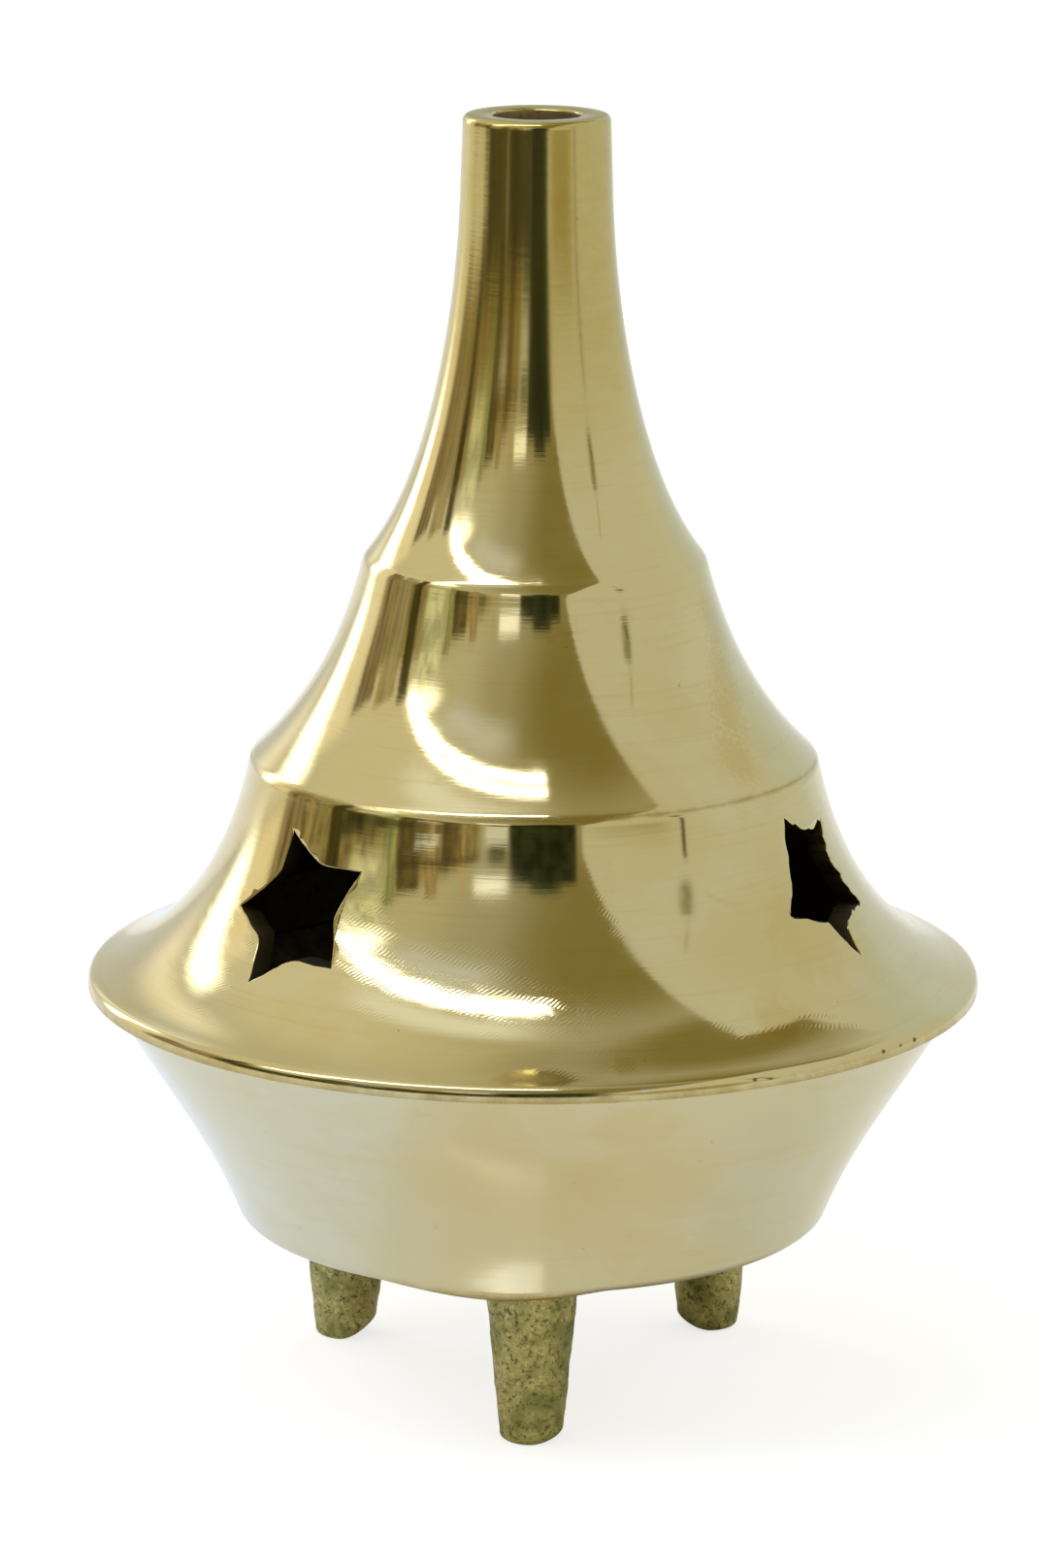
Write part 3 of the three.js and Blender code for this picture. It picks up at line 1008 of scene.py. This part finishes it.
@dataclass
class Feet:
    """Three cast pegs, set by eye, each with a tenon hammered flush inside the bowl."""

    length: float = 11.8
    sole_radius: float = 2.2
    sole_rounding: float = 0.5
    shank_radius: float = 3.1
    root_radius: float = 3.6
    root_height: float = 1.8
    tenon_radius: float = 1.7
    tenon_length: float = 1.8
    roughness: float = 0.08
    shrinkage: float = 0.02  # how far the cast skin lies inside the shank on the whole
    smooth_ends: float = 0.6  # length at each end of the shank in which the roughness fades
    worn_height: float = 3.0  # how far up the shank the sole's wear is felt
    sides: int = 64
    pegs: tuple[Peg, ...] = (
        Peg("foot_front", 0.0, 15.4, 80.0, 0.45),
        Peg("foot_rear_right", 125.5, 15.7, -80.0, 0.7),
        Peg("foot_rear_left", 243.0, 15.0, 75.0, 1.2),
    )

    def outline(self) -> Outline:
        """Radius and height of one peg, from the middle of its sole to the end of its tenon."""
        edge, shank_top = self.sole_rounding, self.length - self.root_height
        rounding = [
            Vector((self.sole_radius - edge + edge * math.sin(a), edge - edge * math.cos(a)))
            for a in [math.radians(15.0 * k) for k in range(7)]
        ]
        shank_end = Vector((self.shank_radius, shank_top))
        shank = [rounding[-1].lerp(shank_end, k / 26.0) for k in range(1, 27)]
        spread = self.root_radius - self.shank_radius
        root = [
            (self.shank_radius + spread * t * t, shank_top + self.root_height * t)
            for t in [k / 6.0 for k in range(1, 7)]
        ]
        top = self.length + self.tenon_length
        tenon = [(self.tenon_radius, self.length), (self.tenon_radius, top - 0.15), (1.45, top)]
        return [Vector(p) for p in [(0, 0), (0.8, 0), *rounding, *shank, *root, *tenon, (0, top)]]

    def roughen(self, work: BMesh, peg: Peg, seed: float) -> None:
        """Gives the shank the lumps of a sand casting, and the sole its wear.

        Args:
            work: the peg, still on the axis.
            peg: the peg's place and wear.
            seed: place in the noise, which differs from peg to peg.
        """
        work.normal_update()
        worn = outward(peg.worn_side, 1.0)
        for vert in work.verts:
            place = vert.co / MM
            ends = (place.z / self.smooth_ends, (self.length - place.z) / self.smooth_ends)
            fade = math.prod(min(1.0, max(0.0, end)) for end in ends)
            lumps = noise.noise(place * 0.5 + Vector((0.0, 0.0, seed)))
            grains = noise.noise(place * 2.3 + Vector((seed, 0.0, 0.0)))
            push = (lumps * 1.3 + grains * 0.6) * self.roughness * fade
            side = max(0.0, place.dot(worn) / self.sole_radius)
            lift = peg.worn_rise * side * side * max(0.0, 1.0 - place.z / self.worn_height)
            vert.co += Vector((vert.normal.x, vert.normal.y, 0.0)) * (push - self.shrinkage * fade) * MM
            vert.co.z += lift * MM

    def build(self) -> list[Object]:
        """Makes the pegs, dresses them and puts them on their body."""
        finish = CastBrass("cast_brass_rough").make()
        pieces = []
        for k, peg in enumerate(self.pegs):
            work = spin_outline(self.outline(), closed=False, sides=self.sides)
            self.roughen(work, peg, 7.3 * (k + 1))
            place = outward(peg.bearing, peg.distance) * MM
            bmesh.ops.translate(work, verts=work.verts[:], vec=place)
            piece = finish_piece(peg.name.replace("foot", "peg"), work, [finish])
            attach(piece, "bowl")
            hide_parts(peg.name)
            pieces.append(piece)
        return pieces


# The studio

Frame = tuple[Vector, Vector, Vector]  # one corner of a panel, and the two sides that leave it
EYE_HEIGHT = 0.045  # metres, where the elevations of the panels are measured from
COOL = (0.95, 1.0, 1.12)
GOLD = (1.0, 0.88, 0.42)


def card(bearings: Pair, elevations: Pair, distance: float) -> Frame:
    """An upright frame, by what it covers as seen from the burner.

    Args:
        bearings: bearings of its left and right side.
        elevations: elevations of its lower and upper side.
        distance: its distance in metres.

    Returns:
        The frame, in metres.
    """
    half = math.radians(bearings[1] - bearings[0]) / 2.0
    middle = sum(bearings) / 2.0
    low, high = (math.tan(math.radians(e)) * distance for e in elevations)
    across = ray(middle + 90.0, 0.0) * 2.0 * math.tan(half) * distance
    corner = outward(middle, distance, low + EYE_HEIGHT) - across / 2.0
    return corner, across, Vector((0.0, 0.0, high - low))


def slab(corner: Colour, across: float | Colour, up: Colour) -> Frame:
    """A frame, by its left corner, its width along +X or that whole side, and its other side."""
    side = across if isinstance(across, tuple) else (across, 0.0, 0.0)
    return Vector(corner), Vector(side), Vector(up)


@dataclass(frozen=True)
class Panel:
    """A flat panel of light or shade, which the brass mirrors and the camera doesn't see."""

    name: str
    colour: Colour
    strength: float
    frame: Frame
    soft: Pair = (0.0, 0.0)  # shares across and up in which it fades out
    clutter: float = 0.0  # contrast of blurred shapes in it
    lumps: Pair = (5.0, 2.0)  # shapes across and up
    spreads: bool = True  # whether it also lights dull surfaces

    def build(self) -> None:
        """Makes the panel."""
        corner, across, up = self.frame
        work = bmesh.new()
        work.loops.layers.uv.new("spread")
        bmesh.ops.create_grid(work, x_segments=1, y_segments=1, size=0.5, calc_uvs=True)
        turn = Matrix((across, up, across.cross(up).normalized())).transposed().to_4x4()
        middle = Matrix.Translation(corner + (across + up) / 2.0)
        bmesh.ops.transform(work, matrix=middle @ turn, verts=work.verts[:])
        panel = finish_piece(self.name, work, [self.glow()])
        panel.visible_camera = False
        panel.visible_shadow = False
        panel.visible_diffuse = self.spreads
        LOG.info("panel %s", panel.name)

    def glow(self) -> Material:
        """A glow in the panel's colour, fading out at soft sides."""
        material, graph = new_material(self.name)
        place = graph.add("TexCoord").outputs["UV"]
        tint: object = self.colour
        if self.clutter:
            shift = float(sum(map(ord, self.name)))
            spread = graph.vector("MULTIPLY_ADD", place, (*self.lumps, 1.0), (shift, 0.0, 0.0))
            shapes = graph.step(graph.noise(spread, 1.0, 3.0, 0.6), 0.36, 0.64)
            dull = tuple(c * (1.0 - self.clutter) for c in self.colour)
            bright = tuple(c * (1.0 + self.clutter) for c in self.colour)
            tint = graph.blend(shapes, dull, bright)
        light = graph.glow("Emission", tint, self.strength)
        for side, soft in zip(graph.add("SeparateXYZ", {0: place}).outputs, self.soft):
            if soft:
                to_side = graph.math("MINIMUM", side, graph.math("SUBTRACT", 1.0, side))
                clear = graph.add("BsdfTransparent").outputs[0]
                light = graph.mix(graph.step(to_side, 0.0, soft), clear, light)
        graph.end(light)
        return material


def cards(*rows: tuple) -> list[Panel]:
    """Makes upright panels.

    Args:
        rows: each panel's name, colour, strength, bearings, elevations and distance, and then as
            needed its soft shares, its clutter and its lumps.

    Returns:
        The panels.
    """
    return [Panel(*row[:3], card(*row[3:6]), *row[6:]) for row in rows]


@dataclass
class Studio:
    """Plain pale table, soft surroundings and the panels that the brass mirrors, in metres."""

    floor_size: float = 8.0
    lamp_height: float = 0.93

    def board(self) -> list[Panel]:
        """The board at the right and what stands before it, and two screens behind."""
        white = (0.98, 1, 0.96)
        right = slab((0.99, -2.9, 0), (-0.567, 3.197, 0), (0, 0, 0.9))
        rear = slab((0.423, 0.297, 0), (-0.213, 1.203, 0), (0, 0, 0.6))
        before = cards(
            ("board_shade", GOLD, 0.56, (15.5, 58), (-20, 13), 0.28, (0.3, 0.25)),
            ("cord_dark", GOLD, 0.08, (58.2, 60.4), (-11, 14.8), 0.42, (0.3, 0.1)),
            ("cord_knot", (0.72, 0.74, 0.34), 0.42, (55, 63), (17, 28), 0.43, (0.45, 0.3), 0.75, (4, 5)),
            ("cord_end", GOLD, 0.62, (58.9, 60.6), (27, 39), 0.43, (0.4, 0.25)),
            ("screen", (0.9, 0.98, 1), 0.86, (122, 170), (-14, 42), 0.35, (0.35, 0.3)),
            ("backdrop", (0.95, 1, 0.75), 0.5, (164, 196), (2, 34), 0.7, (0.3, 0.3)),
        )
        return [Panel("board_right", white, 0.86, right), Panel("board_rear", white, 0.86, rear), *before]

    def lamp(self) -> list[Panel]:
        """The lamp overhead, with two tubes, and the glow about it."""
        soft, z, tube_z = (0.3, 0.45), self.lamp_height, self.lamp_height - 0.01
        rows = (
            ("tube_front", 8.0, (-1.40, -0.415, tube_z), 1.46, 0.052, (0, 0)),
            ("tube_rear", 8.0, (-1.40, -0.330, tube_z), 1.46, 0.052, (0, 0)),
            ("tube_tray", 1.7, (-1.40, -0.44, z - 0.005), 1.46, 0.185, (0, 0.2)),
            ("lamp_end", 3.4, (-1.7, -0.78, z), 0.8, 0.6, soft),
            ("lamp_rear", 1.3, (-0.8, -0.30, z), 0.95, 0.34, soft),
            ("lamp_near", 0.9, (-1.0, -0.85, z), 0.95, 0.5, soft),
        )
        return [
            Panel(name, COOL, strength, slab(corner, wide, (0, deep, 0)), fade)
            for name, strength, corner, wide, deep, fade in rows
        ]

    def room(self) -> list[Panel]:
        """The window at the left, the room in front, and dark ends of the table."""
        soft, busy = (0.12, 0.12), 0.45
        black, olive = (0.8, 1, 0.45), (1, 0.95, 0.38)
        return cards(
            ("window_left", COOL, 5.6, (-142, -124), (-4, 36), 0.9, (0.48, 0.3)),
            ("curtain_front", (1, 0.93, 0.78), 1.3, (-128, -112), (-4, 31), 0.92, (0.3, 0.2)),
            ("curtain_rear", (1, 0.98, 0.95), 1.4, (-158, -138), (-4, 46), 0.92, (0.5, 0.3)),
            ("room_back", (1, 0.84, 0.42), 0.4, (-114, -20), (-2, 26), 0.75, (0.02, 0.2), busy, (28, 3)),
            ("room_pink", (1, 0.8, 0.5), 0.36, (-113, -101), (-2, 27), 0.66, soft, busy),
            ("room_cream", (1, 0.88, 0.56), 0.52, (-100, -87), (7, 30), 0.66, soft, 0.3),
            ("room_post", (1, 0.85, 0.25), 0.08, (-86, -78.5), (-4, 33), 0.64, (0.2, 0.1), busy),
            ("room_pale", (0.95, 1, 0.8), 0.98, (-77, -57), (10, 34), 0.66, (0.3, 0.25), 0.35, (4, 4)),
            ("room_green", (0.9, 1, 0.55), 0.5, (-60, -54), (2, 27), 0.67, soft, busy),
            ("room_shelf", (1, 0.8, 0.35), 0.16, (-54, -44), (1, 24), 0.66, soft, busy, (3, 6)),
            ("room_tan", (1, 0.78, 0.45), 0.5, (-42, -37), (6, 26), 0.65, soft, busy),
            ("room_dim", (1, 0.78, 0.35), 0.18, (-36, -29), (0, 19), 0.66, soft, busy, (2, 5)),
            ("room_frame", (1, 0.66, 0.28), 0.85, (-27.6, -26.4), (9, 27), 0.62, (0.3, 0.1)),
            ("window_small", COOL, 1.9, (-23.5, -9), (20, 25.6), 0.62, (0.12, 0.3)),
            ("case_side", (0.9, 1, 0.5), 0.16, (-19, -9), (0, 19), 0.6, (0.3, 0.15), 0.6, (4, 5)),
            ("case_black", black, 0.042, (-10, 17), (0, 22.9), 0.58, (0.05, 0.04), 0.5, (6, 6)),
            ("case_top", black, 0.05, (-3, 12), (22, 25), 0.58, (0.25, 0.3)),
            ("shelf_line", (1, 0.85, 0.4), 0.09, (-54, -20), (15.8, 17.4), 0.56, (0.05, 0.2)),
            ("pane_far", COOL, 0.95, (-47, -36), (11.2, 13.4), 0.57, (0.1, 0.2), 0.5),
            ("pane_near", COOL, 1.1, (-19, -9.5), (8, 14), 0.57, (0.1, 0.2)),
            ("end_left", olive, 0.11, (-80, -42), (-14, 9.1), 0.27, (0.1, 0.06), 0.6, (9, 3)),
            ("end_middle", olive, 0.08, (-43, -9), (-14, 9.1), 0.27, (0.02, 0.06), 0.6, (9, 3)),
            ("end_right", (0.85, 1, 0.42), 0.05, (-10, 16.5), (-14, 12), 0.27, (0.08, 0.1), 0.6, (7, 3)),
        )

    def glare(self) -> list[Panel]:
        """Glare on the table's gloss, which the bowl shows just over its front peg."""
        rows = (
            ("glare", 1.35, (-0.0128, -0.0287, 0.0002), 0.0148, 0.0030, (0.2, 0.2), 0.3),
            ("glare_low", 2.6, (-0.0128, -0.0286, 0.0004), 0.0148, 0.0007, (0.02, 0.4), 0.0),
            ("glare_high", 2.2, (-0.0095, -0.0286, 0.0019), 0.0115, 0.0006, (0.1, 0.4), 0.0),
        )
        return [
            Panel(name, COOL, strength, slab(corner, wide, (0, 0, high)), fade, clutter, (3, 5), False)
            for name, strength, corner, wide, high, fade, clutter in rows
        ]

    def build(self) -> None:
        """Makes the surroundings, the table and the panels."""
        self.surroundings()
        self.table()
        for panel in self.board() + self.lamp() + self.room() + self.glare():
            panel.build()

    def surroundings(self) -> None:
        """Soft light from all round, dimmer up and to the right, and white to the camera."""
        world = bpy.data.worlds.new("surroundings")
        bpy.context.scene.world = world
        graph = Graph(world)
        toward = graph.add("TexCoord").outputs["Generated"]

        def near(bearing: float, elevation: float, low: float, high: float) -> NodeSocket:
            """Share of the sky near a direction, stepped on the cosine of the angle to it."""
            facing_it = graph.vector("DOT_PRODUCT", toward, tuple(ray(bearing, elevation)))
            return graph.step(facing_it, low, high)

        # Up to the right, and over the board, first dim and then dark
        dim = graph.math("MAXIMUM", near(31, 41, 0.45, 0.82), near(128, 60, 0.85, 0.93))
        dark = graph.math("MAXIMUM", near(31, 41, 0.78, 0.97), near(128, 60, 0.93, 0.985))
        wall, behind = near(-108, 42, 0.72, 0.97), near(-165, 5, 0.55, 0.95)
        colour = graph.blend(dim, (0.76, 0.74, 0.60), (0.55, 0.525, 0.40))
        colour = graph.blend(dark, colour, (0.34, 0.29, 0.11))
        colour = graph.blend(wall, colour, (0.98, 0.95, 0.84))
        colour = graph.blend(behind, colour, (0.78, 0.80, 0.78))
        seen = graph.add("LightPath").outputs["Is Camera Ray"]
        room, white = graph.glow("Background", colour), graph.glow("Background", (1.0, 1.0, 1.0))
        graph.end(graph.mix(seen, room, white), "OutputWorld")

    def table(self) -> None:
        """A pale table top, white to the camera and in the brass, with the burner's soft shadow."""
        work = bmesh.new()
        bmesh.ops.create_grid(work, x_segments=1, y_segments=1, size=self.floor_size / 2.0)
        material, graph = new_material("table_paper")
        place = graph.add("TexCoord").outputs["Object"]
        paper = graph.blend(graph.noise(place, 900.0, 3.0), (0.44, 0.44, 0.44), (0.46, 0.46, 0.46))
        matt = graph.add("BsdfDiffuse", {"Color": paper}).outputs[0]
        # Painted daylight and shade in the table's glow, which the brass mirrors: cool from the left, and
        # shaded by the board at the right
        across = graph.add("SeparateXYZ", {0: place}).outputs[0]
        daylight: object = (0.64, 0.65, 0.68)
        for start, end, colour in (
            (-0.075, -0.032, (0.54, 0.64, 0.86)),
            (-0.032, -0.004, (0.50, 0.49, 0.43)),
            (0.002, 0.030, (0.52, 0.54, 0.54)),
        ):
            daylight = graph.lay(daylight, colour, across, start, end)
        # Painted shade: the glow is dark under the bowl, for the pegs to mirror
        under = graph.vector("LENGTH", graph.vector("SUBTRACT", place, (0.005, 0.0, 0.0)))
        daylight = graph.blend(graph.step(under, 0.010, 0.024), (0.10, 0.095, 0.065), daylight)
        path = graph.add("LightPath").outputs
        daylight = graph.blend(path["Is Camera Ray"], daylight, (0.72, 0.72, 0.72))
        glow = graph.glow("Emission", daylight)
        lit = graph.add("AddShader", {0: matt, 1: glow}).outputs[0]
        seen = graph.math("MAXIMUM", path["Is Camera Ray"], path["Is Glossy Ray"])
        seen = graph.math("MAXIMUM", seen, path["Is Transmission Ray"])
        graph.end(graph.mix(seen, matt, lit))
        top = finish_piece("table_top", work, [material])


@dataclass(frozen=True)
class Viewpoint:
    """The camera, set level with the lid and looking down a little."""

    aside: float = -0.68
    distance: float = 412.5
    height: float = 142.2
    pitch: float = 13.61  # degrees down
    roll: float = 0.25  # degrees
    focal_pixels: float = 6300.0  # in the photo's pixels
    sensor: float = 36.0

    def build(self) -> None:
        """Makes the camera."""
        data = bpy.data.cameras.new("viewpoint")
        data.sensor_width = self.sensor
        data.sensor_fit = "AUTO"
        data.lens = self.focal_pixels * self.sensor / max(PHOTO_SIZE)
        data.clip_start = 0.01
        camera = bpy.data.objects.new("viewpoint", data)
        bpy.context.scene.collection.objects.link(camera)
        tilt = Matrix.Rotation(math.radians(90.0 - self.pitch), 4, "X")
        roll = Matrix.Rotation(math.radians(self.roll), 4, "Z")
        place = Vector((self.aside, -self.distance, self.height)) * MM
        camera.matrix_world = Matrix.Translation(place) @ tilt @ roll
        bpy.context.scene.camera = camera


def triangles(piece: Object) -> int:
    """Number of triangles in a piece."""
    return sum(len(p.vertices) - 2 for p in piece.data.polygons)


def main() -> None:
    """Builds the camera, the burner and the studio, and logs the triangles of each piece."""
    logging.basicConfig(level=logging.INFO, format="%(name)s: %(message)s")
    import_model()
    Viewpoint().build()
    feet = Feet()
    for piece in [Lid().build(), Bowl().build(feet), *feet.build()]:
        LOG.info("piece %s: %d triangles", piece.name, triangles(piece))
    Studio().build()
    bpy.context.scene.view_settings.view_transform = "Standard"


if __name__ == "__main__":
    main()
